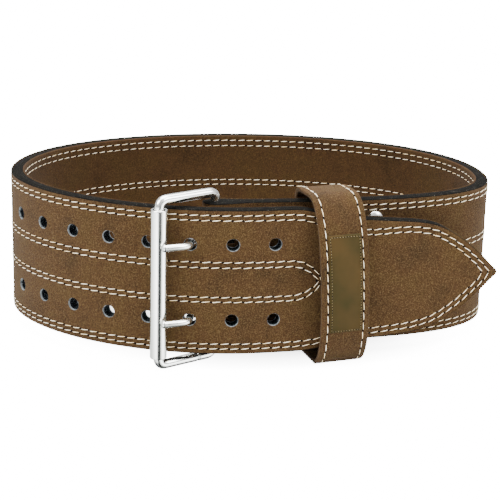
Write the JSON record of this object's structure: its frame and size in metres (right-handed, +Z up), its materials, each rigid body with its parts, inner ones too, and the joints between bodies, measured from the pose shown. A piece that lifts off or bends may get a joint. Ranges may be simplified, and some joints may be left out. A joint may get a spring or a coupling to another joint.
{
  "type": "weightlifting belt",
  "caption": "Wide suede-faced leather lifting belt, buckled into a standing loop, with a pronged roller buckle, rows of adjustment holes and a keeper loop.",
  "frame": {"origin": "middle of the footprint of the belt's box, on the surface that it stands on", "axes": "+X across the wearer towards the tongue's tip, +Y from the buckle to the back, +Z up"},
  "size_m": [0.347, 0.2562, 0.1231],
  "materials": {
    "black_leather": "black dyed edge, satin",
    "brown_suede": "brushed brown suede, matte",
    "lining_suede": "darker brown suede, matte",
    "patch_leather": "smooth olive-brown leather, bare",
    "polished_steel": "bright nickel-plated steel"
  },
  "bodies": {
    "belt": {"belt_core": "black_leather", "outer_suede": "brown_suede", "inner_suede": "lining_suede", "buckle_frame": "polished_steel", "prong_upper": "polished_steel", "prong_lower": "polished_steel", "keeper": "brown_suede", "keeper_label": "patch_leather", "rivet_left_upper": "polished_steel", "rivet_left_lower": "polished_steel", "rivet_right_upper": "polished_steel", "rivet_right_lower": "polished_steel"},
    "roller": {"buckle_roller": "polished_steel"}
  },
  "joints": [
    {"name": "roller_spin", "type": "hinge", "parent": "belt", "child": "roller", "pos_m": [-0.05871, -0.11631, 0.06203], "axis": [0, 0.0511, 0.9987], "continuous": true}
  ]
}
